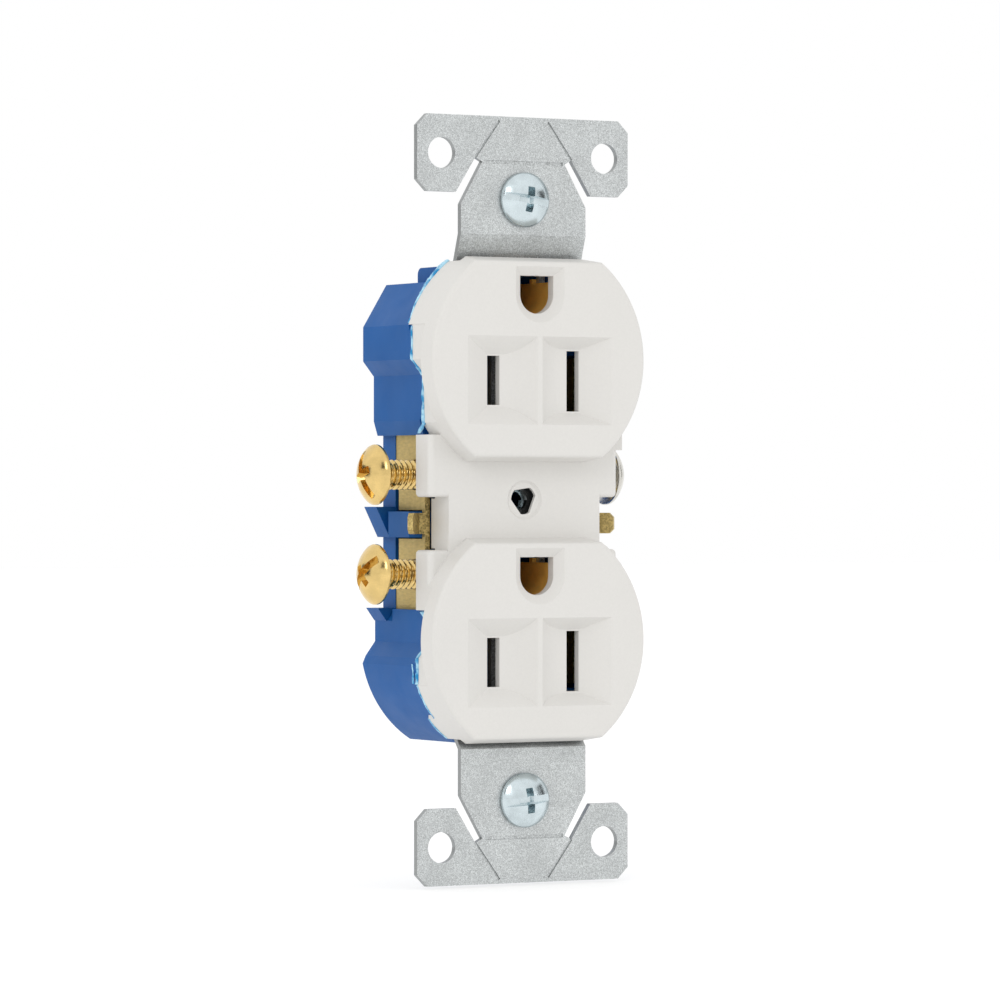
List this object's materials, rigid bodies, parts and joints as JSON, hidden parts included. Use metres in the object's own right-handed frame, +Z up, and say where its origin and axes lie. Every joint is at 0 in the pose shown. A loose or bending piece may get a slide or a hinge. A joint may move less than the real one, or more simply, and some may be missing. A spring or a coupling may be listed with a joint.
{
  "type": "duplex wall outlet",
  "caption": "Duplex wall outlet: white faces with blade and ground slots, blue rear body, steel strap with plaster ears, side terminal screws.",
  "frame": {"origin": "on the axis of the tapped centre hole, in the plane of the strap's back", "axes": "+X right seen from the front, +Y into the wall, +Z up"},
  "size_m": [0.0414, 0.0215, 0.1062],
  "materials": {
    "white_plastic": "satin moulded",
    "blue_plastic": "satin moulded",
    "galvanised_steel": "galvanised, matt",
    "bus_brass": "dull, speckled",
    "screw_brass": "bright plated",
    "contact_brass": "clean sheet",
    "nickel": "nickel plated",
    "zinc": "bright zinc plated",
    "green_steel": "green passivated",
    "fibre": "fibre",
    "spring_steel": "bright"
  },
  "bodies": {
    "chassis": {"front_cover": "white_plastic", "rear_body": "blue_plastic", "mounting_strap": "galvanised_steel", "hot_bus": "bus_brass", "neutral_bus": "bus_brass", "upper_ground_contact": "contact_brass", "lower_ground_contact": "contact_brass", "upper_ground_rivet": "bus_brass", "lower_ground_rivet": "bus_brass"},
    "hot_screw_upper": {"hot_screw_upper": "screw_brass"},
    "hot_screw_lower": {"hot_screw_lower": "screw_brass"},
    "neutral_screw_upper": {"neutral_screw_upper": "nickel"},
    "neutral_screw_lower": {"neutral_screw_lower": "nickel"},
    "ground_screw": {"ground_screw": "green_steel"},
    "screw_retainer_upper": {"screw_retainer_upper": "fibre"},
    "mounting_screw_upper": {"mounting_screw_upper": "zinc"},
    "screw_retainer_lower": {"screw_retainer_lower": "fibre"},
    "mounting_screw_lower": {"mounting_screw_lower": "zinc"},
    "hot_wire_spring_upper": {"hot_wire_spring_upper": "spring_steel"},
    "hot_wire_spring_lower": {"hot_wire_spring_lower": "spring_steel"},
    "neutral_wire_spring_upper": {"neutral_wire_spring_upper": "spring_steel"},
    "neutral_wire_spring_lower": {"neutral_wire_spring_lower": "spring_steel"}
  },
  "joints": [
    {"name": "hot_screw_upper_travel", "type": "slide", "parent": "chassis", "child": "hot_screw_upper", "axis": [-1, 0, 0], "range_m": [-0.00595, 0]},
    {"name": "hot_screw_lower_travel", "type": "slide", "parent": "chassis", "child": "hot_screw_lower", "axis": [-1, 0, 0], "range_m": [-0.00595, 0]},
    {"name": "neutral_screw_upper_travel", "type": "slide", "parent": "chassis", "child": "neutral_screw_upper", "axis": [1, 0, 0], "range_m": [-0.00475, 0]},
    {"name": "neutral_screw_lower_travel", "type": "slide", "parent": "chassis", "child": "neutral_screw_lower", "axis": [1, 0, 0], "range_m": [-0.00365, 0]},
    {"name": "ground_screw_travel", "type": "slide", "parent": "chassis", "child": "ground_screw", "axis": [1, 0, 0], "range_m": [-0.0045, 0]},
    {"name": "screw_retainer_upper_turn", "type": "hinge", "parent": "chassis", "child": "screw_retainer_upper", "pos_m": [0, 0.00055, 0.04167], "axis": [0, 1, 0], "range_deg": [-90, 90]},
    {"name": "mounting_screw_upper_travel", "type": "slide", "parent": "chassis", "child": "mounting_screw_upper", "axis": [0, -1, 0], "range_m": [0, 0.01]},
    {"name": "screw_retainer_lower_turn", "type": "hinge", "parent": "chassis", "child": "screw_retainer_lower", "pos_m": [0, 0.00055, -0.04167], "axis": [0, 1, 0], "range_deg": [-90, 90]},
    {"name": "mounting_screw_lower_travel", "type": "slide", "parent": "chassis", "child": "mounting_screw_lower", "axis": [0, -1, 0], "range_m": [0, 0.01]},
    {"name": "hot_wire_spring_upper_rock", "type": "hinge", "parent": "chassis", "child": "hot_wire_spring_upper", "pos_m": [-0.0082, 0.012, 0.0074], "axis": [0, 0, 1], "range_deg": [0, 20], "stiffness_Nm_per_rad": 0.002},
    {"name": "hot_wire_spring_lower_rock", "type": "hinge", "parent": "chassis", "child": "hot_wire_spring_lower", "pos_m": [-0.0082, 0.012, -0.0142], "axis": [0, 0, 1], "range_deg": [0, 20], "stiffness_Nm_per_rad": 0.002},
    {"name": "neutral_wire_spring_upper_rock", "type": "hinge", "parent": "chassis", "child": "neutral_wire_spring_upper", "pos_m": [0.0082, 0.012, 0.0074], "axis": [0, 0, -1], "range_deg": [0, 20], "stiffness_Nm_per_rad": 0.002},
    {"name": "neutral_wire_spring_lower_rock", "type": "hinge", "parent": "chassis", "child": "neutral_wire_spring_lower", "pos_m": [0.0082, 0.012, -0.0142], "axis": [0, 0, -1], "range_deg": [0, 20], "stiffness_Nm_per_rad": 0.002}
  ]
}
